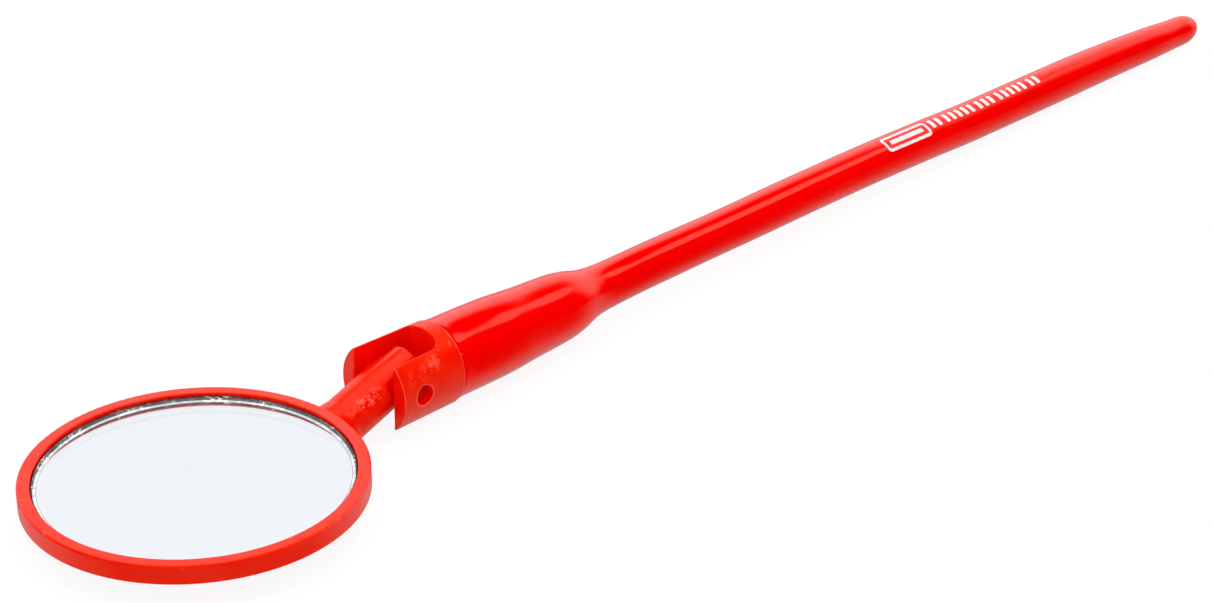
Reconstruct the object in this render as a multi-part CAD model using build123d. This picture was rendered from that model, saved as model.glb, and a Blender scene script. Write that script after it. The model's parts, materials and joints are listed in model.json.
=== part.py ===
"""Insulated inspection mirror: a round glass mirror in a moulded tray on a short neck, held by a
friction hinge in the forked head of a dip-coated handle.

Frame: millimetres, +X from the mirror towards the tip of the handle, +Z up, the hinge pin along Y.
The origin is under the centre of the tool's outline, on the surface that the tool lies on.
The pieces are first built about the hinge pin, and moved to that origin when they are written.
"""
from build123d import *

import os
from math import atan2, degrees, hypot

# ---- mirror disc: tray, glass and what is bonded under the glass ----
TRAY_DIAMETER = 54.0
RIM_WIDTH = 2.05
RIM_RECESS = 0.5            # glass face below the top of the rim
GLASS_CLEARANCE = 0.1       # radial, glass to rim
GLASS_THICKNESS = 1.9
SILVER_THICKNESS = 0.04
PAINT_THICKNESS = 0.06
TAPE_THICKNESS = 0.2
TAPE_MARGIN = 2.0           # tape edge inside the glass edge
TRAY_FLOOR = 0.8
TRAY_CHAMFER_RISE = 0.4     # bottom edge of the tray
TRAY_CHAMFER_RUN = 0.8
RIM_OUTER_FILLET = 0.3
RIM_INNER_FILLET = 0.15
RIM_RISE = 0.5              # top of the rim above the hinge axis
HINGE_TO_CENTRE = 41.4

# ---- neck, tongue and heel of the tray ----
NECK_RADIUS = 4.0
NECK_ANGLE = 18.95          # rises from the tray to the hinge
NECK_OFFSET = 0.8           # neck axis above the hinge axis, square to the neck
NECK_REACH = 27.0           # length of the neck's axis from the hinge, into the heel
FLARE_RADIUS = 4.55         # where the neck meets the tray
FLARE_START = 11.2          # along the neck from the hinge
FLARE_LENGTH = 3.2
TONGUE_END_RADIUS = 3.45    # the neck narrows to this at the tongue's end
TONGUE_FRONT = 3.9          # start of the flats, ahead of the hinge
TONGUE_FLAT_FILLET = 0.8    # where the flats start
TONGUE_BACK = 3.95          # tongue beyond the hinge
TONGUE_END_FILLET = 0.7
TONGUE_FLATS = 5.6          # across the two flats that the spacers bear on
HEEL_WIDTH = 8.0
HEEL_LENGTH = 15.0          # inwards from the tray's edge

# ---- forked head of the handle ----
HEAD_FRONT = 4.5            # front face ahead of the hinge
HEAD_REAR = 9.1             # rear face behind the hinge
HEAD_FRONT_RADIUS = 7.52
HEAD_DRAFT = 0.24           # rear radius below the front one
HEAD_EDGE_FILLET = 0.2
SLOT_MOUTH_WIDTH = 9.5
SLOT_END_WIDTH = 8.6
SLOT_DEPTH = 6.1            # closed end behind the hinge
SLOT_CORNER_RADIUS = 1.9
SHANK_LENGTH = 17.0         # straight part behind the head
SHANK_TAPER = 13.0
SHANK_END_RADIUS = 3.4
SOCKET_DEPTH = 24.0         # from the end of the shank

# ---- hinge pin and spacers ----
PIN_RADIUS = 1.5
PIN_CLEARANCE = 0.04        # radial, pin in the tongue
PIN_RECESS = 1.4            # pin end below the side of the head
EAR_RECESS_STEP = 0.2       # recess radius beyond the pin's
EAR_RECESS_GAP = 0.2        # recess floor outside the pin's end
EAR_HOLE_FILLET = 0.2
SPACER_WALL = 0.9
SPACER_GAP = 0.05           # each spacer to the tongue's flat
BOSS_HEIGHT = 0.25          # spacer seat, in from the wall of the slot at the hinge

# ---- handle: rod and its dipped sleeve ----
HANDLE_LENGTH = 229.5       # hinge to tip
COAT_THICKNESS = 1.43
GRIP_RADIUS = 3.93
SLEEVE_MOUTH_STEP = 0.33    # sleeve below the head's rear radius
SHANK_COAT = 1.35           # sleeve over the head's shank
SLEEVE_SHOULDER = 17.0      # end of the thick part, from the hinge
SLEEVE_WAIST = 36.5         # start of the steep part
SLEEVE_WAIST_RADIUS = 6.03
SLEEVE_THROAT = 44.0        # end of the steep part
SLEEVE_THROAT_RADIUS = 4.55
GRIP_START = 53.0
TIP_TAPER = 36.3            # length of the taper ahead of the rounded tip
TIP_RADIUS = 2.95
TIP_ROUND = 5.2             # length of the rounded tip
ROD_TIP_GAP = 6.5           # rod end short of the sleeve's tip
ROD_TIP_RADIUS = 1.6

# ---- printed marking on the sleeve ----
MARK_THICKNESS = 0.03
MARK_START = 124.0
MARK_ANGLE = 18.0           # from the top of the handle, round to the side
EMBLEM_ANGLE = 24.0
EMBLEM_LENGTH = 13.5
EMBLEM_WIDTH = 3.5
EMBLEM_LINE = 0.65
EMBLEM_CORE_LENGTH = 10.6
EMBLEM_CORE_WIDTH = 0.9
STROKE_WIDTH = 1.15         # along the handle
STROKE_HEIGHT = 2.1         # round the handle
STROKE_PITCH = 1.95
GROUP_GAP = 1.6
STROKE_GROUPS = (2, 5, 3, 5, 2)

CUT = 200.0                 # size of the blocks that only cut

TRAY_RADIUS = TRAY_DIAMETER / 2
HEAD_REAR_RADIUS = HEAD_FRONT_RADIUS - HEAD_DRAFT
SLEEVE_MOUTH_RADIUS = HEAD_REAR_RADIUS - SLEEVE_MOUTH_STEP
SHANK_RADIUS = SLEEVE_MOUTH_RADIUS - SHANK_COAT
EAR_RECESS_RADIUS = PIN_RADIUS + EAR_RECESS_STEP
SPACER_RADIUS = PIN_RADIUS + SPACER_WALL
TAPER_START = HANDLE_LENGTH - TIP_ROUND - TIP_TAPER
POCKET_RADIUS = TRAY_RADIUS - RIM_WIDTH
GLASS_RADIUS = POCKET_RADIUS - GLASS_CLEARANCE
STACK = GLASS_THICKNESS + SILVER_THICKNESS + PAINT_THICKNESS + TAPE_THICKNESS
POCKET_DEPTH = RIM_RECESS + STACK
TRAY_HEIGHT = POCKET_DEPTH + TRAY_FLOOR
HANDLE_TILT = degrees(atan2(HEAD_FRONT_RADIUS - GRIP_RADIUS, TAPER_START + HEAD_FRONT))
SHANK_END = HEAD_REAR + SHANK_LENGTH + SHANK_TAPER
ROD_RADIUS = GRIP_RADIUS - COAT_THICKNESS
ROD_START = SHANK_END - SOCKET_DEPTH
PIN_HALF = HEAD_FRONT_RADIUS - PIN_RECESS


def slot_half_width(station):
    """Half the width of the head's slot at a distance behind the hinge."""
    share = (station + HEAD_FRONT) / (SLOT_DEPTH + HEAD_FRONT)
    return (SLOT_MOUTH_WIDTH + (SLOT_END_WIDTH - SLOT_MOUTH_WIDTH) * share) / 2


BOSS_FACE = slot_half_width(0) - BOSS_HEIGHT


def disc(radius, thickness, top):
    """A round plate centred on the mirror, with its upper face at height top."""
    plate = Cylinder(radius, thickness, align=(Align.CENTER, Align.CENTER, Align.MAX))
    return Pos(-HINGE_TO_CENTRE, 0, top) * plate


def rod_along_x(radius, start, end):
    """A round bar on the X axis between two stations."""
    bar = Cylinder(radius, end - start, align=(Align.CENTER, Align.CENTER, Align.MIN))
    return Pos(start, 0, 0) * Rot(0, 90, 0) * bar


def rod_along_y(radius, start, end):
    """A round bar on the Y axis between two places."""
    bar = Cylinder(radius, end - start, align=(Align.CENTER, Align.CENTER, Align.MIN))
    return Pos(0, start, 0) * Rot(-90, 0, 0) * bar


def turned(outline):
    """Turn a closed outline in the XZ plane a full turn about the X axis."""
    return revolve(make_face(outline), axis=Axis.X, revolution_arc=360)


def section(stations):
    """A closed outline from (x, radius) stations down to the axis at both ends."""
    points = [(x, 0, radius) for x, radius in stations]
    return Polyline((points[0][0], 0, 0), *points, (points[-1][0], 0, 0), close=True)


def in_head_frame(shape):
    """Tilt a piece of the handle about the hinge, so that the handle lies on its head and its tip."""
    return Rot(0, HANDLE_TILT, 0) * shape


def along_neck(shape):
    """Turn a piece built along X, with X towards the hinge end, onto the neck's axis."""
    return Rot(0, -NECK_ANGLE, 0) * Pos(0, 0, NECK_OFFSET) * shape


def fork_head():
    """The handle's head: two ears round a slot, a collar, and a shank with a socket for the rod."""
    head = turned(section([(-HEAD_FRONT, HEAD_FRONT_RADIUS), (HEAD_REAR, HEAD_REAR_RADIUS)]))
    mouth, end = SLOT_MOUTH_WIDTH / 2, SLOT_END_WIDTH / 2
    flare = slot_half_width(-HEAD_FRONT - 1.0)
    outline = Polyline(
        (-HEAD_FRONT - 1.0, flare),
        (SLOT_DEPTH, end),
        (SLOT_DEPTH, -end),
        (-HEAD_FRONT - 1.0, -flare),
        close=True,
    )
    slot = extrude(make_face(outline), amount=CUT / 2, both=True)
    corners = slot.edges().filter_by(Axis.Z).sort_by(Axis.X)[-2:]
    slot = fillet(corners, SLOT_CORNER_RADIUS)
    head = head - slot
    head = fillet(head.edges(), HEAD_EDGE_FILLET)
    for side in (-1, 1):
        inner, outer = sorted((side * BOSS_FACE, side * (mouth + 0.5)))
        head = head + rod_along_y(SPACER_RADIUS, inner, outer)
    shank = turned(section([
        (HEAD_REAR - 1.0, SHANK_RADIUS),
        (HEAD_REAR + SHANK_LENGTH, SHANK_RADIUS),
        (SHANK_END, SHANK_END_RADIUS),
    ]))
    head = head + shank - rod_along_x(ROD_RADIUS, ROD_START, SHANK_END + 1.0)
    head = head - rod_along_y(PIN_RADIUS, -CUT / 2, CUT / 2)
    for side in (-1, 1):
        near, far = sorted((side * (PIN_HALF + EAR_RECESS_GAP), side * CUT / 2))
        head = head - rod_along_y(EAR_RECESS_RADIUS, near, far)
    head = fillet(head.edges().filter_by(is_ear_hole_rim), EAR_HOLE_FILLET)
    return in_head_frame(head)


def is_ear_hole_rim(edge):
    """Whether an edge is the outer rim of the recess round an end of the pin."""
    middle = edge.center()
    outside = abs(middle.Y) > PIN_HALF + EAR_RECESS_GAP + EAR_HOLE_FILLET
    return outside and hypot(middle.X, middle.Z) < EAR_RECESS_RADIUS


def flat_cutter(side):
    """The block that cuts one flat on the tongue, with a round start."""
    block = Pos(CUT / 2 - TONGUE_FRONT, side * (CUT + TONGUE_FLATS) / 2, 0) * Box(CUT, CUT, CUT)
    start = block.edges().filter_by(Axis.Z).sort_by(lambda e: e.center().X + side * e.center().Y)[:1]
    return fillet(start, TONGUE_FLAT_FILLET)


def mirror_frame(rest_level):
    """Tray, neck, tongue and heel, moulded in one piece; the heel stands at the rest level."""
    rim_top = RIM_RISE
    half = TRAY_RADIUS
    outline = Polyline(
        (0, 0, rim_top - TRAY_HEIGHT),
        (half - TRAY_CHAMFER_RUN, 0, rim_top - TRAY_HEIGHT),
        (half, 0, rim_top - TRAY_HEIGHT + TRAY_CHAMFER_RISE),
        (half, 0, rim_top),
        (0, 0, rim_top),
        close=True,
    )
    tray = Pos(-HINGE_TO_CENTRE, 0, 0) * revolve(make_face(outline), axis=Axis.Z, revolution_arc=360)
    tray = fillet(tray.edges().filter_by(GeomType.CIRCLE).sort_by(Axis.Z)[-1:], RIM_OUTER_FILLET)

    neck = turned(section([
        (-NECK_REACH, NECK_RADIUS),
        (-TONGUE_FRONT, NECK_RADIUS),
        (TONGUE_BACK, TONGUE_END_RADIUS),
    ]))
    neck = fillet(neck.edges().filter_by(GeomType.CIRCLE).sort_by(Axis.X)[-1:], TONGUE_END_FILLET)
    for side in (-1, 1):
        neck = neck - flat_cutter(side)
    flare = turned(section([
        (-FLARE_START - 2 * FLARE_LENGTH, 2 * FLARE_RADIUS - NECK_RADIUS),
        (-FLARE_START - FLARE_LENGTH, FLARE_RADIUS),
        (-FLARE_START, NECK_RADIUS),
    ]))
    neck = along_neck(neck + flare)

    heel_x = -HINGE_TO_CENTRE + TRAY_RADIUS
    heel_height = rim_top - TRAY_HEIGHT - rest_level + TRAY_FLOOR / 2
    heel = extrude(SlotOverall(HEEL_LENGTH, HEEL_WIDTH), amount=heel_height)
    heel = Pos(heel_x - HEEL_LENGTH / 2, 0, rest_level) * heel

    frame = tray + neck + heel
    ground = Box(CUT, CUT, CUT, align=(Align.CENTER, Align.CENTER, Align.MAX))
    frame = frame - Pos(0, 0, rest_level) * ground
    frame = frame - disc(POCKET_RADIUS, CUT, rim_top - POCKET_DEPTH + CUT)
    frame = fillet(inner_rim_edge(frame), RIM_INNER_FILLET)
    return frame - rod_along_y(PIN_RADIUS + PIN_CLEARANCE, -CUT / 2, CUT / 2)


def inner_rim_edge(frame):
    """The top edge of the pocket in the tray."""
    circles = frame.edges().filter_by(GeomType.CIRCLE)
    return circles.filter_by(lambda e: abs(e.radius - POCKET_RADIUS) < 0.01).sort_by(Axis.Z)[-1:]


def mirror_layers():
    """Glass, silvering, backing paint and bonding tape, from the top down."""
    layers = {}
    top = RIM_RISE - RIM_RECESS
    for name, radius, thickness in (
        ("mirror_glass", GLASS_RADIUS, GLASS_THICKNESS),
        ("mirror_silvering", GLASS_RADIUS, SILVER_THICKNESS),
        ("backing_paint", GLASS_RADIUS, PAINT_THICKNESS),
        ("bonding_tape", GLASS_RADIUS - TAPE_MARGIN, TAPE_THICKNESS),
    ):
        layers[name] = disc(radius, thickness, top)
        top = top - thickness
    return layers


def hinge_pieces():
    """The pin pressed into the ears, and the two spacers on it beside the tongue."""
    pieces = {"pivot_pin": in_head_frame(rod_along_y(PIN_RADIUS, -PIN_HALF, PIN_HALF))}
    inner_face = TONGUE_FLATS / 2 + SPACER_GAP
    for name, side in (("near_spacer", -1), ("far_spacer", 1)):
        start, end = sorted((side * inner_face, side * BOSS_FACE))
        ring = rod_along_y(SPACER_RADIUS, start, end) - rod_along_y(PIN_RADIUS, start - 1.0, end + 1.0)
        pieces[name] = in_head_frame(ring)
    return pieces


def handle_rod():
    """The stiff rod that runs from the socket in the head almost to the tip."""
    rod = turned(section([
        (ROD_START, ROD_RADIUS),
        (TAPER_START, ROD_RADIUS),
        (HANDLE_LENGTH - ROD_TIP_GAP, ROD_TIP_RADIUS),
    ]))
    return in_head_frame(rod)


def insulating_sleeve(head, rod):
    """The dipped coat: thick over the head's shank, then slim over the rod, with a rounded tip."""
    tip_start = HANDLE_LENGTH - TIP_ROUND
    tip_slope = (TIP_RADIUS - GRIP_RADIUS) / (tip_start - TAPER_START) * 1.5
    shoulder = Spline(
        (SLEEVE_SHOULDER, 0, SLEEVE_MOUTH_RADIUS),
        (SLEEVE_WAIST, 0, SLEEVE_WAIST_RADIUS),
        (SLEEVE_THROAT, 0, SLEEVE_THROAT_RADIUS),
        (GRIP_START, 0, GRIP_RADIUS),
        tangents=[(1, 0, 0), (1, 0, 0)],
    )
    taper = Spline(
        (TAPER_START, 0, GRIP_RADIUS),
        (tip_start, 0, TIP_RADIUS),
        tangents=[(1, 0, 0), (1, 0, tip_slope)],
    )
    tip = Spline(
        (tip_start, 0, TIP_RADIUS),
        (HANDLE_LENGTH, 0, 0),
        tangents=[(1, 0, tip_slope), (0, 0, -1)],
    )
    outline = [
        Line((HEAD_REAR, 0, 0), (HEAD_REAR, 0, SLEEVE_MOUTH_RADIUS)),
        Line((HEAD_REAR, 0, SLEEVE_MOUTH_RADIUS), (SLEEVE_SHOULDER, 0, SLEEVE_MOUTH_RADIUS)),
        shoulder,
        Line((GRIP_START, 0, GRIP_RADIUS), (TAPER_START, 0, GRIP_RADIUS)),
        taper,
        tip,
        Line((HANDLE_LENGTH, 0, 0), (HEAD_REAR, 0, 0)),
    ]
    return in_head_frame(turned(Wire(outline))) - head - rod


def printed_marking():
    """A plain framed emblem and groups of plain strokes, as a thin layer of ink on the sleeve."""
    emblem_middle = MARK_START + EMBLEM_LENGTH / 2
    frame = Box(EMBLEM_LENGTH, EMBLEM_WIDTH, CUT)
    frame = frame - Box(EMBLEM_LENGTH - 2 * EMBLEM_LINE, EMBLEM_WIDTH - 2 * EMBLEM_LINE, CUT)
    core = Box(EMBLEM_CORE_LENGTH, EMBLEM_CORE_WIDTH, CUT)
    blocks = [(EMBLEM_ANGLE, Pos(emblem_middle, 0, CUT / 2) * shape) for shape in (frame, core)]
    start = MARK_START + EMBLEM_LENGTH + GROUP_GAP
    for count in STROKE_GROUPS:
        for number in range(count):
            place = Pos(start + number * STROKE_PITCH + STROKE_WIDTH / 2, 0, CUT / 2)
            blocks.append((MARK_ANGLE, place * Box(STROKE_WIDTH, STROKE_HEIGHT, CUT)))
        start = start + (count - 1) * STROKE_PITCH + STROKE_WIDTH + GROUP_GAP
    first, last = MARK_START - 1.0, start
    skin = rod_along_x(GRIP_RADIUS + MARK_THICKNESS, first, last) - rod_along_x(GRIP_RADIUS, first, last)
    marks = [Rot(angle, 0, 0) * (skin & block) for angle, block in blocks]
    return in_head_frame(Compound(marks))


def build():
    """Every piece of the tool about the hinge, by name."""
    head = fork_head()
    rod = handle_rod()
    sleeve = insulating_sleeve(head, rod)
    rest_level = min(piece.bounding_box().min.Z for piece in (head, sleeve))
    pieces = {"mirror_frame": mirror_frame(rest_level)}
    pieces.update(mirror_layers())
    pieces["fork_head"] = head
    pieces.update(hinge_pieces())
    pieces["handle_rod"] = rod
    pieces["insulating_sleeve"] = sleeve
    pieces["printed_marking"] = printed_marking()
    return pieces


def main():
    """Move the pieces to the tool's origin and write one file for each."""
    pieces = build()
    outline = Compound(list(pieces.values())).bounding_box()
    middle = outline.center()
    shift = Pos(-middle.X, -middle.Y, -outline.min.Z)
    os.makedirs("parts", exist_ok=True)
    for name, piece in pieces.items():
        export_step(shift * piece, f"parts/{name}.step")
    print(f"outline {outline.size.X:.3f} x {outline.size.Y:.3f} x {outline.size.Z:.3f}")
    print(f"hinge at x {-middle.X:.4f} y {-middle.Y:.4f} z {-outline.min.Z:.4f}, tilt {HANDLE_TILT:.4f}")


main()
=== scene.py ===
"""The looks of an insulated inspection mirror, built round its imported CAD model.

The mirror's glass, the dipped sleeve and its print are modelled here; the moulded tray, the forked
head, the pin, the spacers, the tape and the rod keep their CAD shape and are dressed in materials.
Lengths in the classes below are in millimetres, as on a maker's drawing, and MM turns them to metres.
"""

from __future__ import annotations

import json
import logging
import math
from dataclasses import dataclass, field
from enum import Enum

import bmesh
import bpy
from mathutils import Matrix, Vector

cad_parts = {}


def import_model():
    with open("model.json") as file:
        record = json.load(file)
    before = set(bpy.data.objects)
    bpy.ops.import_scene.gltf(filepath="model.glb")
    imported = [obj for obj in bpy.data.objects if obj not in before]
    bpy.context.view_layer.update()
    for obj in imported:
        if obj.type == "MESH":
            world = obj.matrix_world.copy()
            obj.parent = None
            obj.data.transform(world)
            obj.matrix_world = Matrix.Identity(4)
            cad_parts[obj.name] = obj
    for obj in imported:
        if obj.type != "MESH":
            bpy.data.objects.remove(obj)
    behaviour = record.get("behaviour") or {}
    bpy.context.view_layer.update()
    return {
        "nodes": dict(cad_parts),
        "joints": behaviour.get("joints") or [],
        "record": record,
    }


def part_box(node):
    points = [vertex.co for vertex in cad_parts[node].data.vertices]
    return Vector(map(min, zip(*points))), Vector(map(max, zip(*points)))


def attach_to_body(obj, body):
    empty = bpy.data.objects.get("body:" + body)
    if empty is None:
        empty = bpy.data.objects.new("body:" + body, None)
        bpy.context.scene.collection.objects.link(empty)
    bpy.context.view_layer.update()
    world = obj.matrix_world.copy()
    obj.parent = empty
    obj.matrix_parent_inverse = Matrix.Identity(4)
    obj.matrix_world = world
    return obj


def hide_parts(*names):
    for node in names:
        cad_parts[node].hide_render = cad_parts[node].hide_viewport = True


MM = 0.001
LOG = logging.getLogger("inspection_mirror")
Colour = tuple[float, float, float]
WARM_GLOSS: Colour = (1.0, 0.96, 0.74)
FLAT_FACE = 0.999  # the height of a unit normal from which a face counts as level
EDGE_FACE = -0.84  # faces between this and level belong to the edge of the glass


class Body(Enum):
    """The two rigid bodies of the tool."""

    HANDLE = "handle"
    MIRROR_HEAD = "mirror_head"


class GlassPart(Enum):
    """The material places of the glass."""

    FACE = 0
    EDGE = 1
    BEVEL = 2
    LINE = 3
    BACK = 4


class Slot(Enum):
    """The record's material slots."""

    TRAY = "moulded_tray"
    GLASS = "mirror_glass"
    SILVER = "silvering"
    PAINT = "backing_paint"
    TAPE = "bonding_tape"
    HEAD = "moulded_head"
    PIN = "pivot_pin"
    SPACERS = "spacers"
    ROD = "handle_rod"
    COAT = "sleeve_coat"
    INK = "marking_ink"


# ---------------------------------------------------------------------------------------------
# Shader building
# ---------------------------------------------------------------------------------------------


class ShaderGraph:
    """A short way to write a node tree."""

    def __init__(self, owner: bpy.types.Material | bpy.types.World) -> None:
        """Start an empty tree on a material or a world."""
        owner.use_nodes = True
        self.tree = owner.node_tree
        self.tree.nodes.clear()

    def add(self, kind: str, settings: dict | None = None, **sockets: object) -> bpy.types.Node:
        """Add a node.

        Args:
            kind: the node's type, such as "ShaderNodeMath".
            settings: properties of the node itself.
            **sockets: input sockets by name with "_" for a space, as values or as output sockets.

        Returns:
            The new node.
        """
        node = self.tree.nodes.new(kind)
        for name, value in (settings or {}).items():
            setattr(node, name, value)
        for name, value in sockets.items():
            self.feed(node.inputs[name.replace("_", " ")], value)
        return node

    def feed(self, socket: bpy.types.NodeSocket, value: object) -> None:
        """Link an output socket to an input, or set the input's own value.

        Args:
            socket: the input.
            value: an output socket, or a plain value.
        """
        if isinstance(value, bpy.types.NodeSocket):
            self.tree.links.new(value, socket)
        else:
            socket.default_value = value

    def math(self, operation: str, first: object, second: object = 0.0) -> bpy.types.NodeSocket:
        """Do one arithmetic step.

        Args:
            operation: the step, such as "ADD".
            first: its first value.
            second: its second value, which some steps ignore.

        Returns:
            The result.
        """
        node = self.add("ShaderNodeMath", {"operation": operation})
        self.feed(node.inputs[0], first)
        self.feed(node.inputs[1], second)
        return node.outputs[0]

    def product(self, *factors: object) -> bpy.types.NodeSocket:
        """Multiply several values.

        Args:
            *factors: two or more values or output sockets.

        Returns:
            Their product.
        """
        total = factors[0]
        for factor in factors[1:]:
            total = self.math("MULTIPLY", total, factor)
        return total

    def vector(
        self, operation: str, first: object, second: object = (0.0, 0.0, 0.0), result: str = "Vector"
    ) -> bpy.types.NodeSocket:
        """Do one step of vector arithmetic.

        Args:
            operation: the step, such as "SUBTRACT".
            first: its first vector.
            second: its second vector, which some steps ignore.
            result: "Vector", or "Value" for a step that gives a number.

        Returns:
            The result.
        """
        node = self.add("ShaderNodeVectorMath", {"operation": operation})
        self.feed(node.inputs[0], first)
        self.feed(node.inputs[1], second)
        return node.outputs[result]

    def ramp(
        self, value: object, low: float, high: float, to_low: float = 0.0, to_high: float = 1.0
    ) -> bpy.types.NodeSocket:
        """Map a value smoothly from one range to another, and hold it at the ends.

        Args:
            value: the value.
            low: where the ramp starts.
            high: where it ends.
            to_low: the result at its start.
            to_high: the result at its end.

        Returns:
            The mapped value.
        """
        node = self.add(
            "ShaderNodeMapRange",
            {"interpolation_type": "SMOOTHSTEP"},
            From_Min=low,
            From_Max=high,
            To_Min=to_low,
            To_Max=to_high,
        )
        self.feed(node.inputs["Value"], value)
        return node.outputs["Result"]

    def blend(self, factor: object, first: object, second: object) -> bpy.types.NodeSocket:
        """Turn one colour to another.

        Args:
            factor: 0 for the first colour, 1 for the second.
            first: the first colour.
            second: the second colour.

        Returns:
            The colour between them.
        """
        node = self.add("ShaderNodeMix", {"data_type": "RGBA"})
        self.feed(node.inputs[0], factor)
        self.feed(node.inputs[6], first)
        self.feed(node.inputs[7], second)
        return node.outputs[2]

    def noise(self, where: object, scale: float, detail: float = 2.0) -> bpy.types.NodeSocket:
        """Soft noise with features of about 1/scale metres."""
        node = self.add("ShaderNodeTexNoise", Vector=where, Scale=scale, Detail=detail)
        return node.outputs["Fac"]

    def bump(self, height: object, depth: float, under: object | None = None) -> bpy.types.NodeSocket:
        """Turn a height into a normal.

        Args:
            height: the height, from 0 to 1.
            depth: what a height of 1 stands for, in millimetres.
            under: the normal of a coarser bump beneath.

        Returns:
            The normal.
        """
        node = self.add("ShaderNodeBump", Height=height, Distance=depth * MM, Strength=1.0)
        if under is not None:
            self.feed(node.inputs["Normal"], under)
        return node.outputs["Normal"]

    def output(self, surface: object) -> None:
        """Close the tree with its output node."""
        self.add("ShaderNodeOutputMaterial", Surface=surface)


def handle_direction() -> Vector:
    """Read the handle's direction from the record's handle mount.

    Returns:
        The unit vector from the hinge to the tip of the handle.
    """
    mount = next(m for m in FRAME["record"]["mounts"] if m["name"] == "handle_shaft")
    along = Vector(mount["axis"]).normalized()
    return along if along.x > 0.0 else -along


def degrees(low: float, high: float) -> tuple[float, float]:
    """A pair of angles given in degrees, in radians."""
    return math.radians(low), math.radians(high)


def rgba(colour: Colour) -> tuple[float, float, float, float]:
    """A colour with full alpha."""
    return (*colour, 1.0)


@dataclass(frozen=True)
class PaleSpecklePatch:
    """A small pale speckled patch on a moulding, by its offset from the hinge."""

    offset: tuple[float, float, float]
    radius: float
    strength: float = 1.0


@dataclass(frozen=True)
class EdgeHighlightBand:
    """A thin pale band of painted highlight along an edge fillet, at a distance from the hinge.

    The distance is measured along the handle, or square to the pin when around_pin is set.
    """

    distance: float
    half_width: float
    strength: float = 1.0
    around_pin: bool = False


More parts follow.
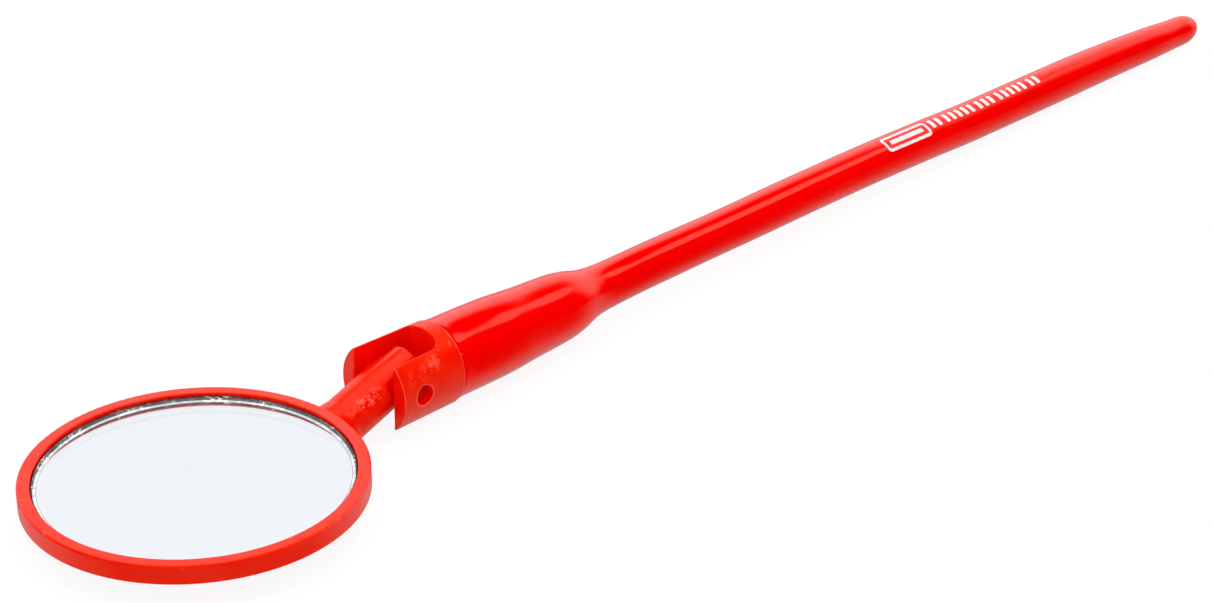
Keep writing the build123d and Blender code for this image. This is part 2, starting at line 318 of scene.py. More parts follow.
@dataclass(frozen=True)
class MouldedPlastic:
    """Matt orange-red injection moulding: fine grain, faint flow clouds and pale flecks, with pale speckled
    patches and thin bands of painted highlight along edge fillets.
    """

    name: str
    colour: Colour = (0.95, 0.015, 0.001)
    pale: Colour = (0.96, 0.035, 0.006)
    # The pale colour of the random flecks, of the speckled patches and of the painted highlight bands along
    # edge fillets.
    pale_highlight: Colour = (0.98, 0.36, 0.28)
    gloss_tint: Colour = (1.0, 0.98, 0.86)
    index: float = 1.72
    roughness: float = 0.34
    flow_scale: float = 140.0
    fleck_scale: float = 1100.0
    grain_scale: float = 4200.0
    grain_depth: float = 0.005
    pit_scale: float = 1900.0
    pit_drift_scale: float = 260.0
    pit_depth: float = 0.0
    pit_from_x: float = 0.0
    pit_to_x: float = 0.0
    dot_scale: float = 2300.0
    speckle_patches: tuple[PaleSpecklePatch, ...] = ()
    bands: tuple[EdgeHighlightBand, ...] = ()

    def build(self) -> bpy.types.Material:
        """Make the material.

        Returns:
            The new material.
        """
        material = bpy.data.materials.new(self.name)
        graph = ShaderGraph(material)
        place = graph.add("ShaderNodeTexCoord").outputs["Object"]
        flow = graph.noise(place, self.flow_scale, 3.0)
        flecks = graph.noise(place, self.fleck_scale, 4.0)
        handled = graph.product(graph.ramp(flecks, 0.62, 0.7), graph.ramp(flow, 0.54, 0.64, 0.0, 0.4))
        # Random pale flecks and the painted highlights of the patches and edge bands all turn the colour
        # towards the pale highlight colour.
        paled = graph.math("MAXIMUM", handled, self._marks(graph, place, flecks))
        shade = graph.blend(graph.ramp(flow, 0.3, 0.75, 0.0, 0.3), rgba(self.colour), rgba(self.pale))
        shade = graph.blend(paled, shade, rgba(self.pale_highlight))
        normal = graph.bump(graph.noise(place, self.grain_scale, 4.0), self.grain_depth)
        if self.pit_depth:
            normal = self._pitted(graph, place, normal)
        shader = graph.add(
            "ShaderNodeBsdfPrincipled",
            Base_Color=shade,
            Roughness=graph.ramp(flow, 0.25, 0.8, self.roughness - 0.05, self.roughness + 0.07),
            Normal=normal,
            IOR=self.index,
            Specular_Tint=rgba(self.gloss_tint),
        )
        graph.output(shader.outputs["BSDF"])
        return material

    def _marks(
        self, graph: ShaderGraph, place: bpy.types.NodeSocket, flecks: bpy.types.NodeSocket
    ) -> bpy.types.NodeSocket | float:
        """Where the surface is paled by speckled patches and by thin bands of painted highlight along edge
        fillets.

        Args:
            graph: the material's tree.
            place: the object coordinates.
            flecks: fine noise that breaks the bands of painted highlight up.

        Returns:
            A factor from 0 to 1.
        """
        hinge = Vector(FRAME["joints"][0]["pos_m"])
        offset = graph.vector("SUBTRACT", place, hinge)
        speckle = self._speckle(graph, place)
        total: bpy.types.NodeSocket | float = 0.0
        for speckle_patch in self.speckle_patches:
            gap = graph.vector("DISTANCE", offset, Vector(speckle_patch.offset) * MM, "Value")
            radius = speckle_patch.radius * MM
            mask = graph.ramp(gap, 0.2 * radius, radius, speckle_patch.strength, 0.0)
            total = graph.math("MAXIMUM", total, graph.product(mask, speckle))
        for band in self.bands:
            far = self._band_distance(graph, offset, band)
            gap = graph.math("ABSOLUTE", graph.math("SUBTRACT", far, band.distance * MM))
            width = band.half_width * MM
            mask = graph.ramp(gap, 0.5 * width, width, band.strength, 0.0)
            # Painted highlight along the edge fillet, broken up by the flecks.
            paled = graph.product(mask, graph.ramp(flecks, 0.3, 0.55, 0.55))
            total = graph.math("MAXIMUM", total, paled)
        return total

    def _speckle(self, graph: ShaderGraph, place: bpy.types.NodeSocket) -> bpy.types.NodeSocket:
        """Small soft dots in drifts, over a faint cloud.

        Args:
            graph: the material's tree.
            place: the object coordinates.

        Returns:
            The strength of the speckle.
        """
        cells = graph.add("ShaderNodeTexVoronoi", Vector=place, Scale=self.dot_scale).outputs["Distance"]
        dots = graph.ramp(cells, 0.12, 0.5, 1.0, 0.0)
        drift = graph.ramp(graph.noise(place, 1500.0, 1.0), 0.4, 0.6, 0.0, 0.8)
        cloud = graph.ramp(graph.noise(place, 800.0, 3.0), 0.42, 0.62, 0.0, 0.3)
        return graph.math("ADD", graph.product(dots, drift), cloud)

    def _band_distance(
        self, graph: ShaderGraph, offset: bpy.types.NodeSocket, band: EdgeHighlightBand
    ) -> bpy.types.NodeSocket:
        """How far a point is from the hinge, in the way that a band measures it.

        Args:
            graph: the material's tree.
            offset: the point's offset from the hinge.
            band: the band.

        Returns:
            The distance, in metres.
        """
        if band.around_pin:
            across = graph.vector("MULTIPLY", offset, (1.0, 0.0, 1.0))
            return graph.vector("LENGTH", across, result="Value")
        return graph.vector("DOT_PRODUCT", offset, handle_direction(), "Value")

    def _pitted(
        self, graph: ShaderGraph, place: bpy.types.NodeSocket, normal: bpy.types.NodeSocket
    ) -> bpy.types.NodeSocket:
        """Lay shallow sink pits over the grain between two stations along X.

        Args:
            graph: the material's tree.
            place: the object coordinates.
            normal: the normal of the grain.

        Returns:
            The normal of the pitted surface.
        """
        along = graph.add("ShaderNodeSeparateXYZ", Vector=place).outputs["X"]
        entering = graph.ramp(along, self.pit_from_x - MM, self.pit_from_x)
        leaving = graph.ramp(along, self.pit_to_x, self.pit_to_x + MM, 1.0, 0.0)
        pits = graph.ramp(graph.noise(place, self.pit_scale, 3.0), 0.4, 0.6)
        drift = graph.ramp(graph.noise(place, self.pit_drift_scale, 2.0), 0.44, 0.6)
        return graph.bump(graph.product(pits, drift, entering, leaving), self.pit_depth, normal)


@dataclass(frozen=True)
class DippedCoat:
    """Glossy red vinyl dip: a deep colour under a smooth skin with the slow waves of a dipped film."""

    name: str = "dipped_coat"
    colour: Colour = (0.97, 0.0028, 0.0012)
    deep: Colour = (0.93, 0.002, 0.001)
    index: float = 1.65
    roughness: float = 0.055
    cloud_scale: float = 55.0
    wave_scale: float = 85.0
    wave_depth: float = 0.05
    speck_scale: float = 1500.0
    speck_depth: float = 0.01

    def build(self) -> bpy.types.Material:
        """Make the material.

        Returns:
            The new material.
        """
        material = bpy.data.materials.new(self.name)
        graph = ShaderGraph(material)
        place = graph.add("ShaderNodeTexCoord").outputs["Object"]
        clouds = graph.noise(place, self.cloud_scale, 2.0)
        shade = graph.blend(graph.ramp(clouds, 0.3, 0.7), rgba(self.deep), rgba(self.colour))
        specks = graph.ramp(graph.noise(place, self.speck_scale, 1.0), 0.8, 0.86)
        rough = graph.ramp(clouds, 0.3, 0.7, self.roughness, self.roughness + 0.03)
        waves = graph.bump(graph.noise(place, self.wave_scale, 1.0), self.wave_depth)
        normal = graph.bump(specks, self.speck_depth, waves)
        shader = graph.add(
            "ShaderNodeBsdfPrincipled",
            Base_Color=shade,
            Roughness=rough,
            Normal=normal,
            IOR=self.index,
            Specular_Tint=rgba(WARM_GLOSS),
        )
        graph.output(shader.outputs["BSDF"])
        return material


@dataclass(frozen=True)
class ClearGlass:
    """Polished soda-lime glass that lets lamp light through to what lies under it."""

    name: str = "polished_glass"
    tint: Colour = (0.985, 0.995, 0.99)

    def build(self) -> bpy.types.Material:
        """Make the material.

        Returns:
            The new material.
        """
        material = bpy.data.materials.new(self.name)
        graph = ShaderGraph(material)
        glass = graph.add(
            "ShaderNodeBsdfPrincipled",
            Base_Color=rgba(self.tint),
            Roughness=0.0,
            Transmission_Weight=1.0,
            IOR=1.52,
        )
        clear = graph.add("ShaderNodeBsdfTransparent", Color=rgba(self.tint))
        lamps = graph.add("ShaderNodeLightPath").outputs["Is Shadow Ray"]
        mix = graph.add("ShaderNodeMixShader")
        graph.feed(mix.inputs[0], lamps)
        graph.feed(mix.inputs[1], glass.outputs["BSDF"])
        graph.feed(mix.inputs[2], clear.outputs["BSDF"])
        graph.output(mix.outputs["Shader"])
        return material


@dataclass(frozen=True)
class GroundGlass:
    """Ground glass: grey chips, dark or pale in drifts, with painted white glints, under fine scratches."""

    name: str
    low: Colour = (0.03, 0.03, 0.035)
    high: Colour = (0.3, 0.29, 0.31)
    spark: Colour = (1.0, 1.0, 1.0)
    glint_amount: float = 1.0
    chip_scale: float = 1700.0
    drift_scale: float = 170.0
    glint_scale: float = 1300.0
    scratch_scale: float = 2600.0

    def build(self) -> bpy.types.Material:
        """Make the material.

        Returns:
            The new material.
        """
        material = bpy.data.materials.new(self.name)
        graph = ShaderGraph(material)
        place = graph.add("ShaderNodeTexCoord").outputs["Object"]
        cells = graph.add("ShaderNodeTexVoronoi", Vector=place, Scale=self.chip_scale).outputs["Color"]
        chip = graph.add("ShaderNodeSeparateColor", Color=cells).outputs["Red"]
        drift = graph.noise(place, self.drift_scale, 3.0)
        lift = graph.ramp(graph.math("ADD", chip, graph.ramp(drift, 0.4, 0.6, -0.35, 0.25)), 0.2, 0.95)
        shade = graph.blend(lift, rgba(self.low), rgba(self.high))
        # Painted glints: white specks where light would sparkle off the ground glass.
        glint = graph.ramp(graph.noise(place, self.glint_scale, 2.0), 0.58, 0.63)
        glint = graph.product(glint, graph.ramp(drift, 0.48, 0.56, 0.0, self.glint_amount))
        shade = graph.blend(glint, shade, rgba(self.spark))
        normal = graph.bump(graph.noise(place, self.scratch_scale, 5.0), 0.04)
        rough = graph.ramp(lift, 0.0, 1.0, 0.3, 0.55)
        shader = graph.add(
            "ShaderNodeBsdfPrincipled", Base_Color=shade, Roughness=rough, Normal=normal, IOR=1.5
        )
        graph.output(shader.outputs["BSDF"])
        return material


@dataclass(frozen=True)
class SilverFilm:
    """The silver film on the back of the glass, with the faintest haze."""

    name: str = "silver_film"
    colour: Colour = (0.855, 0.88, 0.925)
    haze: float = 0.015

    def build(self) -> bpy.types.Material:
        """Make the material.

        Returns:
            The new material.
        """
        material = bpy.data.materials.new(self.name)
        graph = ShaderGraph(material)
        place = graph.add("ShaderNodeTexCoord").outputs["Object"]
        haze = graph.ramp(graph.noise(place, 60.0, 3.0), 0.35, 0.75)
        hazed = tuple((1.0 - self.haze) * channel for channel in self.colour)
        shade = graph.blend(haze, rgba(self.colour), rgba(hazed))
        shader = graph.add("ShaderNodeBsdfPrincipled", Base_Color=shade, Roughness=0.0, Metallic=1.0)
        graph.output(shader.outputs["BSDF"])
        return material


@dataclass(frozen=True)
class PlainFinish:
    """A matt or satin finish in two close shades, with a grain that may be drawn out along X."""

    name: str
    colour: Colour
    second: Colour
    roughness: float
    scale: float = 900.0
    depth: float = 0.01
    draw: float = 1.0

    def build(self) -> bpy.types.Material:
        """Make the material.

        Returns:
            The new material.
        """
        material = bpy.data.materials.new(self.name)
        graph = ShaderGraph(material)
        place = graph.add("ShaderNodeTexCoord").outputs["Object"]
        drawn = graph.add("ShaderNodeMapping", Vector=place, Scale=(1.0 / self.draw, 1.0, 1.0))
        grain = graph.noise(drawn.outputs["Vector"], self.scale, 4.0)
        shade = graph.blend(graph.ramp(grain, 0.35, 0.68), rgba(self.colour), rgba(self.second))
        rough = graph.ramp(grain, 0.3, 0.7, self.roughness - 0.04, self.roughness + 0.05)
        normal = graph.bump(grain, self.depth)
        shader = graph.add(
            "ShaderNodeBsdfPrincipled", Base_Color=shade, Roughness=rough, Normal=normal, IOR=1.48
        )
        graph.output(shader.outputs["BSDF"])
        return material


# ---------------------------------------------------------------------------------------------
# Shared shapes
# ---------------------------------------------------------------------------------------------


@dataclass(frozen=True)
class SmoothTrack:
    """A smooth value along the handle through a few (station, value) pairs, with no overshoot."""

    points: tuple[tuple[float, float], ...]

    def _slope(self, index: int) -> float:
        """The track's slope at one of its points.

        Args:
            index: which point.

        Returns:
            Zero at a crest or an end, and else the harmonic mean of the slopes on its two sides.
        """
        if index in (0, len(self.points) - 1):
            return 0.0
        (x0, y0), (x1, y1), (x2, y2) = self.points[index - 1 : index + 2]
        before = (y1 - y0) / (x1 - x0)
        after = (y2 - y1) / (x2 - x1)
        if before * after <= 0.0:
            return 0.0
        return 2.0 * before * after / (before + after)

    def at(self, station: float) -> float:
        """The value at a station.

        Args:
            station: the station, in the unit of the points.

        Returns:
            The value, which beyond an end is the end's own.
        """
        if station <= self.points[0][0]:
            return self.points[0][1]
        for index in range(len(self.points) - 1):
            (x0, y0), (x1, y1) = self.points[index : index + 2]
            if station <= x1:
                span = x1 - x0
                t = (station - x0) / span
                rise = (3 - 2 * t) * t * t
                start = self._slope(index) * span * t * (1 - t) ** 2
                end = self._slope(index + 1) * span * t * t * (t - 1)
                return y0 + (y1 - y0) * rise + start + end
        return self.points[-1][1]


def finish_mesh(
    name: str, mesh: bmesh.types.BMesh, materials: list[bpy.types.Material], crease: float = 24.0
) -> bpy.types.Object:
    """Turn a bmesh into an object at the origin, smooth except at its creases.

    Args:
        name: the piece's name.
        mesh: the bmesh, which is freed.
        materials: its materials, in slot order.
        crease: the angle in degrees from which an edge is sharp.

    Returns:
        The new object, linked to the scene.
    """
    bmesh.ops.remove_doubles(mesh, verts=mesh.verts, dist=1e-7)
    bmesh.ops.recalc_face_normals(mesh, faces=mesh.faces)
    for face in mesh.faces:
        face.smooth = True
    for edge in mesh.edges:
        edge.smooth = edge.calc_face_angle(0.0) < math.radians(crease)
    data = bpy.data.meshes.new(name)
    mesh.to_mesh(data)
    mesh.free()
    for material in materials:
        data.materials.append(material)
    piece = bpy.data.objects.new(name, data)
    bpy.context.scene.collection.objects.link(piece)
    return piece


def spin_profile(mesh: bmesh.types.BMesh, profile: list[Vector], axis: Vector, steps: int) -> None:
    """Turn an open profile a full turn about an axis through the origin.

    Args:
        mesh: the bmesh that gets the surface.
        profile: the profile's points, in order.
        axis: the axis.
        steps: how many sides the turn has.
    """
    verts = [mesh.verts.new(point) for point in profile]
    edges = [mesh.edges.new(pair) for pair in zip(verts, verts[1:])]
    bmesh.ops.spin(
        mesh,
        geom=verts + edges,
        cent=(0, 0, 0),
        axis=axis,
        angle=2 * math.pi,
        steps=steps,
        use_merge=True,
    )


def dress(node: str, material: bpy.types.Material) -> None:
    """Give a CAD node its material.

    Args:
        node: the node's name.
        material: the material for all its slots.
    """
    piece = FRAME["nodes"][node]
    for place in piece.material_slots:
        place.material = material
    LOG.info("dressed %s in %s", node, material.name)


def attach(piece: bpy.types.Object, body: Body, slot: Slot, *stands_for: str) -> None:
    """Fix a new piece to its body and hide the CAD nodes that it stands for.

    Args:
        piece: the piece.
        body: the body that it moves with.
        slot: its material slot in the record; not used.
        *stands_for: the CAD nodes that it replaces.
    """
    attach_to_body(piece, body.value)
    if stands_for:
        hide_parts(*stands_for)
    LOG.info("built %s, %d faces, on %s", piece.name, len(piece.data.polygons), body.value)


# ---------------------------------------------------------------------------------------------
# The mirror head
# ---------------------------------------------------------------------------------------------


@dataclass
class MirrorHead:
    """The tray with its neck, and the back-silvered glass bonded in it."""

    bevel: float = 0.16
    edge_chamfer: tuple[float, float] = (0.3, 0.22)
    edge_chamfer_rise: float = 0.45
    back_bevel: float = 0.72
    line: float = 0.1
    sides: int = 256
    silver_gap: float = 0.004
    pit_depth: float = 0.035
    pit_after_glass: float = 2.5
    pit_before_hinge: float = 4.5
    # Pale speckled patches along the near side of the neck: a painted speckled highlight.
    neck_highlight_patches: tuple[PaleSpecklePatch, ...] = (
        PaleSpecklePatch((-6.3, -3.1, 1.3), 1.8, 0.8),
        PaleSpecklePatch((-8.0, -3.0, 0.8), 1.6, 0.7),
        PaleSpecklePatch((-9.6, -3.0, 0.4), 1.9, 0.85),
        PaleSpecklePatch((-11.6, -2.9, -0.2), 1.7, 0.6),
    )
    tray_finish: MouldedPlastic = field(init=False)

    def __post_init__(self) -> None:
        """Place the pitted stretch between the tray and the hinge."""
        _, glass_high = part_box("mirror_glass")
        hinge_x = FRAME["joints"][0]["pos_m"][0]
        self.tray_finish = MouldedPlastic(
            "moulded_tray",
            pit_depth=self.pit_depth,
            pit_from_x=glass_high.x + self.pit_after_glass * MM,
            pit_to_x=hinge_x - self.pit_before_hinge * MM,
            speckle_patches=self.neck_highlight_patches,
        )

    def build(self) -> None:
        """Build the glass and dress the moulding and the layers."""
        self._glass()
        self._silver()
        dress("mirror_frame", self.tray_finish.build())
        paint = PlainFinish("backing_paint", (0.1, 0.11, 0.115), (0.13, 0.14, 0.14), 0.6)
        dress("backing_paint", paint.build())
        tape = PlainFinish("bonding_tape", (0.7, 0.69, 0.64), (0.78, 0.77, 0.73), 0.8, 2200.0, 0.03)
        dress("bonding_tape", tape.build())

    def _turned_plate(self, rim: list[tuple[float, float]], low: Vector, high: Vector) -> bmesh.types.BMesh:
        """Turn a round plate that fills a box.

        Args:
            rim: points of its edge from the upper face to the lower one, each as millimetres in
                from the box's side and millimetres up from its floor.
            low: the box's lowest corner.
            high: the box's highest corner.

        Returns:
            The plate, in place.
        """
        mesh = bmesh.new()
        radius = (high.x - low.x) / 2
        edge = [Vector((radius - inset * MM, 0.0, rise * MM)) for inset, rise in rim]
        profile = [Vector((0.0, 0.0, edge[0].z)), *edge, Vector((0.0, 0.0, edge[-1].z))]
        spin_profile(mesh, profile, Vector((0.0, 0.0, 1.0)), self.sides)
        middle = (low + high) / 2
        bmesh.ops.translate(mesh, vec=(middle.x, middle.y, low.z), verts=mesh.verts)
        return mesh

    def _glass(self) -> None:
        """The glass: a polished face, a ground edge painted dark as shade, a back bevel painted pale as the
        reflection of the ground edge, and silver behind it.
        """
        low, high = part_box("mirror_glass")
        thick = (high.z - low.z) / MM
        line = self.back_bevel + self.line
        mesh = self._turned_plate(
            [
                (self.bevel, thick),
                (0.0, thick - self.bevel),
                (0.0, self.edge_chamfer_rise),
                self.edge_chamfer,
                (self.back_bevel, 0.0),
                (line, 0.0),
            ],
            low,
            high,
        )
        bmesh.ops.recalc_face_normals(mesh, faces=mesh.faces)
        middle = (low + high) / 2
        silver_radius = (high.x - low.x) / 2 - line * MM
        for face in mesh.faces:
            centre = face.calc_center_median() - middle
            beyond_silver = math.hypot(centre.x, centre.y) > silver_radius
            face.material_index = self._glass_part(face.normal.z, beyond_silver).value
        finishes = [
            ClearGlass().build(),
            # Painted shade: the ground edge is near black. Painted reflection: the back bevel is pale, standing
            # in for the ground edge's reflection.
            GroundGlass("ground_glass_edge", (0.006, 0.006, 0.008), (0.16, 0.15, 0.17)).build(),
            GroundGlass("ground_glass_bevel", (0.55, 0.56, 0.58), (0.96, 0.97, 0.98), glint_amount=0.3).build(),
            PlainFinish("bare_glass_line", (0.36, 0.2, 0.21), (0.5, 0.3, 0.3), 0.4).build(),
            SilverFilm().build(),
        ]
        glass = finish_mesh("back_silvered_glass", mesh, finishes)
        attach(glass, Body.MIRROR_HEAD, Slot.GLASS, "mirror_glass")

    def _glass_part(self, facing: float, beyond_silver: bool) -> GlassPart:
        """Which part of the glass a face belongs to.

        Args:
            facing: the height of its unit normal: 1 faces up, -1 faces down.
            beyond_silver: whether it lies outside the silvered round.

        Returns:
            The part.
        """
        if facing > FLAT_FACE:
            return GlassPart.FACE
        if facing > EDGE_FACE:
            return GlassPart.EDGE
        if facing > -FLAT_FACE:
            return GlassPart.BEVEL
        return GlassPart.LINE if beyond_silver else GlassPart.BACK

    def _silver(self) -> None:
        """The silvering as a thin plate of its own, just clear of the glass."""
        low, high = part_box("mirror_silvering")
        high.z -= self.silver_gap * MM
        rim = [(self.back_bevel, (high.z - low.z) / MM), (self.back_bevel, 0.0)]
        mesh = self._turned_plate(rim, low, high)
        plate = finish_mesh("silvering_film", mesh, [SilverFilm("silver_back").build()])
        attach(plate, Body.MIRROR_HEAD, Slot.SILVER, "mirror_silvering")


# ---------------------------------------------------------------------------------------------
# The forked head and its hinge
# ---------------------------------------------------------------------------------------------


@dataclass
class ForkedHead:
    """The moulded fork, the pin through it and the spacers beside the tongue."""

    # Thin pale bands of painted highlight on the edge fillets: the collar's rear edge, the ears' front edges
    # and the rims of the pin holes.
    pale_highlight: tuple[EdgeHighlightBand, ...] = (
        EdgeHighlightBand(9.02, 0.12, 0.6),
        EdgeHighlightBand(-4.4, 0.08, 0.35),
        EdgeHighlightBand(1.86, 0.14, 0.3, around_pin=True),
    )
    speckle_patches: tuple[PaleSpecklePatch, ...] = (
        PaleSpecklePatch((3.4, -6.0, 4.2), 2.2, 0.6),
        PaleSpecklePatch((1.2, -6.5, 3.4), 2.4, 0.4),
        PaleSpecklePatch((-2.2, -6.7, 3.5), 2.2, 0.25),
    )

    def build(self) -> None:
        """Dress the CAD pieces of the hinge."""
        finish = MouldedPlastic("moulded_head", speckle_patches=self.speckle_patches, bands=self.pale_highlight)
        dress("fork_head", finish.build())
        pin = PlainFinish("pin_plastic", (0.62, 0.006, 0.002), (0.7, 0.01, 0.003), 0.5, 2600.0, 0.01)
        dress("pivot_pin", pin.build())
        spacer = PlainFinish("spacer_plastic", (0.75, 0.01, 0.002), (0.82, 0.014, 0.003), 0.5)
        material = spacer.build()
        for node in ("near_spacer", "far_spacer"):
            dress(node, material)


# ---------------------------------------------------------------------------------------------
# The dipped handle
# ---------------------------------------------------------------------------------------------


@dataclass
class SleeveShape:
    """The outside and the bore of the dipped sleeve, by distance behind the hinge.

    The handle of the real tool isn't quite straight: it arches a little in the middle and its tip
    hangs and leans to one side, so the outside follows a centre line that wanders from the rod.
    """

    mouth: float = 9.12
    tip: float = 229.5
    outside: SmoothTrack = SmoothTrack((
        (9.12, 7.03), (9.4, 7.06), (11.2, 6.98), (18.0, 6.93), (23.0, 6.8), (29.0, 6.38), (35.0, 6.1),
        (38.0, 5.88), (41.0, 5.35), (44.0, 4.56), (47.5, 4.12), (53.0, 3.98), (66.0, 3.93), (78.0, 3.86),
        (95.0, 3.92), (182.0, 3.92), (198.0, 3.74), (214.0, 3.41), (223.5, 3.06),
    ))
    bore: SmoothTrack = SmoothTrack((
        (9.12, 5.62), (26.1, 5.62), (39.1, 3.42), (39.3, 2.52), (188.0, 2.52), (223.0, 1.62),
    ))
    bore_end: float = 223.1
    lift: SmoothTrack = SmoothTrack((
        (9.0, 0.0), (20.0, -0.04), (30.0, -0.08), (48.0, 0.12), (62.0, 0.38), (80.0, 0.42), (104.0, 0.68),
        (118.0, 0.72), (138.0, 0.46), (154.0, 0.08), (185.0, 0.05), (200.0, 0.0), (214.0, -0.1),
        (225.0, -0.26),
    ))
    lean: SmoothTrack = SmoothTrack(((186.0, 0.0), (200.0, -0.18), (214.0, -0.58), (225.0, -0.78)))
    round_start: float = 223.5

    def __post_init__(self) -> None:
        """Read the hinge's place and the handle's direction from the frame."""
        self.hinge = Vector(FRAME["joints"][0]["pos_m"])
        self.along = handle_direction()
        self.up = self.along.cross(Vector((0.0, 1.0, 0.0))) * -1.0
        if self.up.z < 0.0:
            self.up.negate()

    def radius(self, station: float) -> float:
        """The outside radius at a station; the tip closes as a blunt ellipse.

        Args:
            station: the distance behind the hinge, in millimetres.

        Returns:
            The radius, in millimetres.
        """
        if station <= self.round_start:
            return self.outside.at(station)
        share = min(1.0, (station - self.round_start) / (self.tip - self.round_start))
        return self.outside.at(self.round_start) * (1.0 - share**2.3) ** (1.0 / 2.1)

    def place(self, station: float, angle: float, radius: float, follow: float = 1.0) -> Vector:
        """A point of the handle in the row frame.

        Args:
            station: the distance behind the hinge, in millimetres.
            angle: the turn from the top of the handle towards its near side, in radians.
            radius: the distance from the centre line, in millimetres.
            follow: how far the point follows the wandering centre line, from 0 to 1.

        Returns:
            The point, in metres.
        """
        sideways = -math.sin(angle) * radius + follow * self.lean.at(station)
        upwards = math.cos(angle) * radius + follow * self.lift.at(station)
        offset = self.along * station + Vector((0.0, sideways, 0.0)) + self.up * upwards
        return self.hinge + offset * MM


@dataclass
class DippedHandle:
    """The sleeve that was dipped over the head's shank and the rod, and the rod inside it."""

    shape: SleeveShape
    turn_steps: int = 112
    ring_pitch: float = 1.25
    tip_rings: int = 14
    nib_station: float = 9.35
    nib_angle: float = math.radians(61.0)
    nib_size: tuple[float, float, float] = (0.3, 0.34, 0.3)
    nib_radius: float = 7.08
    lip_length: float = 2.0
    lip_rings: int = 8
    mouth_land: float = 0.01
    mouth_flare: float = 0.15
    least_wall: float = 0.3
    end_slack: float = 0.05

    def build(self) -> None:
        """Build the sleeve and dress the rod."""
        coat = DippedCoat().build()
        self._sleeve(coat)
        self._nib(coat)
        rod = PlainFinish(
            "glass_fibre_rod", (0.62, 0.56, 0.38), (0.74, 0.69, 0.52), 0.35, scale=2400.0, depth=0.02, draw=40.0
        )
        dress("handle_rod", rod.build())

    def _outside_stations(self) -> list[float]:
        """Space the rings of the outside, closer together where it turns.

        Returns:
            Their stations from the tip to the mouth, in millimetres.
        """
        shape = self.shape
        length = shape.tip - shape.round_start
        turns = [math.pi / 2 * n / self.tip_rings for n in range(self.tip_rings)]
        tip = [shape.round_start + length * math.cos(turn) for turn in turns]
        span = shape.round_start - shape.mouth - self.lip_length
        count = round(span / self.ring_pitch)
        body = [shape.round_start - span * n / count for n in range(count + 1)]
        shares = [1.0 - n / self.lip_rings for n in range(1, self.lip_rings + 1)]
        lip = [shape.mouth + self.lip_length * share**2 for share in shares]
        return tip + body + lip

    def _sleeve(self, coat: bpy.types.Material) -> None:
        """Spin the closed profile of the sleeve, then let its outside follow the centre line.

        Args:
            coat: the coat's material.
        """
        shape = self.shape
        outside = [(station, shape.radius(station)) for station in self._outside_stations()]
        bore = [(shape.mouth + self.mouth_land, shape.bore.at(shape.mouth) + self.mouth_flare)]
        bore += [(station, shape.bore.at(station)) for station, _ in shape.bore.points[1:]]
        bore += [(shape.bore_end, 0.0)]
        mesh = bmesh.new()
        profile = [Vector((station, 0.0, radius)) * MM for station, radius in outside + bore]
        profile[0].z = 0.0
        spin_profile(mesh, profile, Vector((1.0, 0.0, 0.0)), self.turn_steps)
        bmesh.ops.remove_doubles(mesh, verts=mesh.verts, dist=1e-7)
        for vert in mesh.verts:
            station = vert.co.x / MM
            radius = math.hypot(vert.co.y, vert.co.z) / MM
            angle = math.atan2(-vert.co.y, vert.co.z)
            vert.co = shape.place(station, angle, radius, self._follow(station, radius))
        sleeve = finish_mesh("dipped_sleeve", mesh, [coat])
        attach(sleeve, Body.HANDLE, Slot.COAT, "insulating_sleeve")

    def _follow(self, station: float, radius: float) -> float:
        """How far a point in the wall follows the wandering centre line.

        Args:
            station: the distance behind the hinge, in millimetres.
            radius: the distance from the centre line, in millimetres.

        Returns:
            0 on the bore, 1 on the outside and past the end of the bore.
        """
        shape = self.shape
        if station > shape.bore_end + self.end_slack:
            return 1.0
        inner = shape.bore.at(station)
        wall = max(self.least_wall, shape.radius(station) - inner)
        return min(1.0, max(0.0, (radius - inner) / wall))

    def _nib(self, coat: bpy.types.Material) -> None:
        """A small run of the coat that set on the edge of the collar.

        Args:
            coat: the coat's material.
        """
        shape = self.shape
        mesh = bmesh.new()
        bmesh.ops.create_icosphere(mesh, subdivisions=3, radius=1.0)
        bmesh.ops.scale(mesh, vec=self.nib_size, verts=mesh.verts)
        for vert in mesh.verts:
            angle = self.nib_angle + vert.co.y / self.nib_radius
            vert.co = shape.place(self.nib_station + vert.co.x, angle, self.nib_radius + vert.co.z)
        attach(finish_mesh("coat_nib", mesh, [coat]), Body.HANDLE, Slot.COAT)


